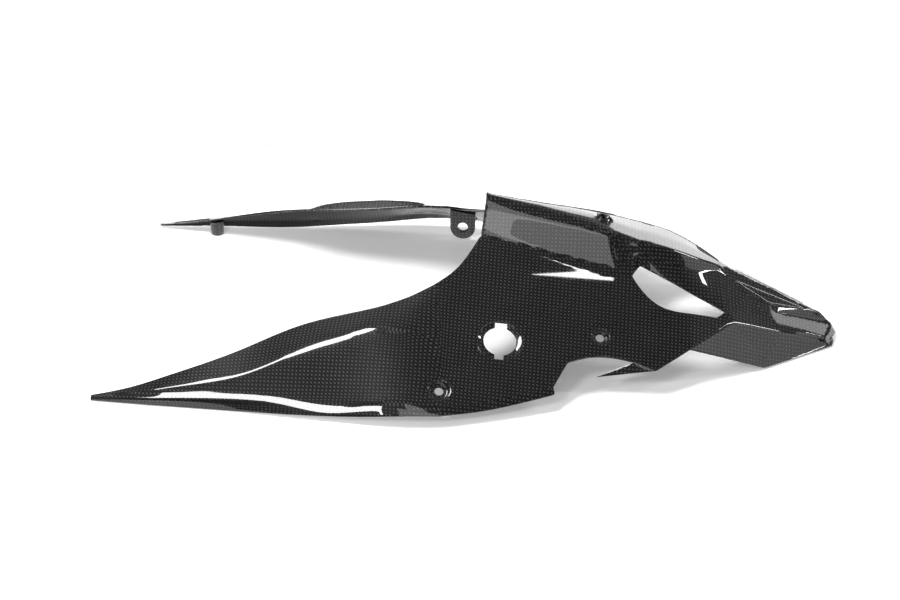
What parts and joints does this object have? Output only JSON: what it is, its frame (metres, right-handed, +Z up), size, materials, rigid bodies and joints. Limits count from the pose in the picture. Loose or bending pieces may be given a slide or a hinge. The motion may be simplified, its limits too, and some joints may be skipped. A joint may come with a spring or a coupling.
{
  "type": "motorcycle undertray",
  "caption": "One-piece carbon-fibre undertray: long pointed side arms, sloped side panels, a raised spine with side windows and a closed tail.",
  "frame": {"origin": "centre of the bounding box at the level of the surface it rests on, upside down as pictured", "axes": "+X along the centre line towards the tail, +Z up from the surface it rests on, +Y to the side away from the lock hole"},
  "size_m": [0.5398, 0.322, 0.1096],
  "materials": {
    "carbon": "clear-coated woven carbon laminate, high gloss"
  },
  "bodies": {
    "root": {"undertray_shell": "carbon"}
  },
  "joints": []
}
